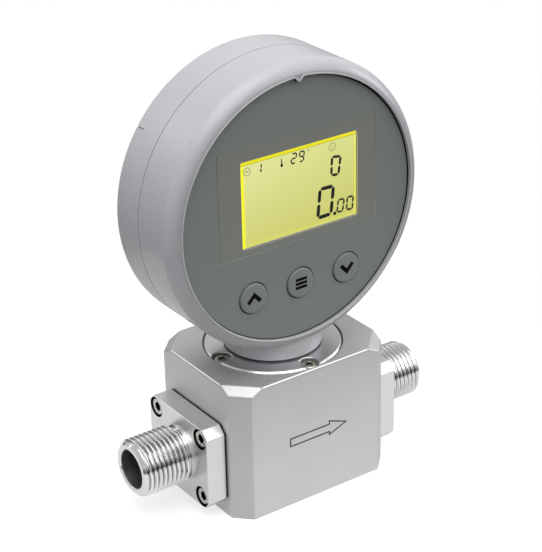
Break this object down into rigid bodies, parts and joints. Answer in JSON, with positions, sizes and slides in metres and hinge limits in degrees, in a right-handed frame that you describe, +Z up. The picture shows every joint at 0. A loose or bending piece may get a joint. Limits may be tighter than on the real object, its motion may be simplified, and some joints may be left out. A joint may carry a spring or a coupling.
{
  "type": "thermal mass flow meter",
  "caption": "Inline thermal mass flow meter: square metal block with bolted male-threaded end fittings, carrying a round swivelling display head with push buttons.",
  "frame": {"origin": "centre of the block's bottom face", "axes": "+X along the gas flow, from inlet to outlet; -Y out of the display's face; +Z up through the neck"},
  "size_m": [0.1212, 0.0522, 0.1593],
  "materials": {
    "anodised_block": "bead-blasted and clear anodised, with bright cut edges",
    "anodised_fitting": "milled plate and turned, threaded spigot, bright",
    "anodised_ring": "turned, satin, with a bright bevel",
    "post_metal": "turned, dark in the shade of the neck",
    "screw_steel": "machined stainless steel",
    "wire_mesh": "stainless wire",
    "gasket_rubber": "matt black",
    "case_plastic": "fine satin moulding, cool light grey",
    "panel_plastic": "printed panel, grey with a green cast",
    "button_plastic": "printed cap like the panel",
    "window_plastic": "clear acrylic with a printed grey border",
    "lcd_glass": "yellow-green lit display",
    "light_plastic": "white diffuser",
    "board_green": "green circuit board",
    "black_plastic": "black moulding",
    "ivory_plastic": "ivory moulding",
    "white_plastic": "white moulding",
    "holder_plastic": "dark grey moulding",
    "chip_silicon": "dark, mirror-like",
    "connector_metal": "nickel-plated, turned",
    "contact_metal": "gold-plated"
  },
  "bodies": {
    "meter_body": {"manifold_block": "anodised_block", "inlet_fitting": "anodised_fitting", "outlet_fitting": "anodised_fitting", "inlet_gasket": "gasket_rubber", "outlet_gasket": "gasket_rubber", "inlet_flange_screws": "screw_steel", "outlet_flange_screws": "screw_steel", "inlet_screen": "wire_mesh", "flow_straightener": "white_plastic", "outlet_screen": "wire_mesh", "sensor_holder": "holder_plastic", "sensor_seal": "gasket_rubber", "sensor_chip": "chip_silicon", "sensor_board": "board_green", "sensor_header": "ivory_plastic", "sensor_screws": "screw_steel", "neck_ring": "anodised_ring", "neck_ring_screws": "screw_steel"},
    "display_head": {"swivel_post": "post_metal", "neck_seal": "gasket_rubber", "front_case": "case_plastic", "rear_case": "case_plastic", "case_seal": "gasket_rubber", "case_screws": "screw_steel", "face_panel": "panel_plastic", "display_window": "window_plastic", "lcd_module": "lcd_glass", "backlight": "light_plastic", "main_board": "board_green", "board_screws": "screw_steel", "tact_switches": "black_plastic", "lead_socket": "ivory_plastic", "sensor_lead": "black_plastic", "io_board": "board_green", "io_board_screws": "screw_steel", "board_link": "black_plastic", "cable_connector": "connector_metal", "connector_insert": "black_plastic", "connector_nut": "connector_metal", "connector_contacts": "contact_metal"},
    "up_button": {"button_up": "button_plastic"},
    "menu_button": {"button_menu": "button_plastic"},
    "down_button": {"button_down": "button_plastic"}
  },
  "joints": [
    {"name": "head_swivel", "type": "hinge", "parent": "meter_body", "child": "display_head", "pos_m": [0, 0, 0.0516], "axis": [0, 0, 1], "range_deg": [-165, 165]},
    {"name": "up_press", "type": "slide", "parent": "display_head", "child": "up_button", "axis": [0, 1, 0], "range_m": [0, 0.0005], "stiffness_N_per_m": 3000},
    {"name": "menu_press", "type": "slide", "parent": "display_head", "child": "menu_button", "axis": [0, 1, 0], "range_m": [0, 0.0005], "stiffness_N_per_m": 3000},
    {"name": "down_press", "type": "slide", "parent": "display_head", "child": "down_button", "axis": [0, 1, 0], "range_m": [0, 0.0005], "stiffness_N_per_m": 3000}
  ]
}
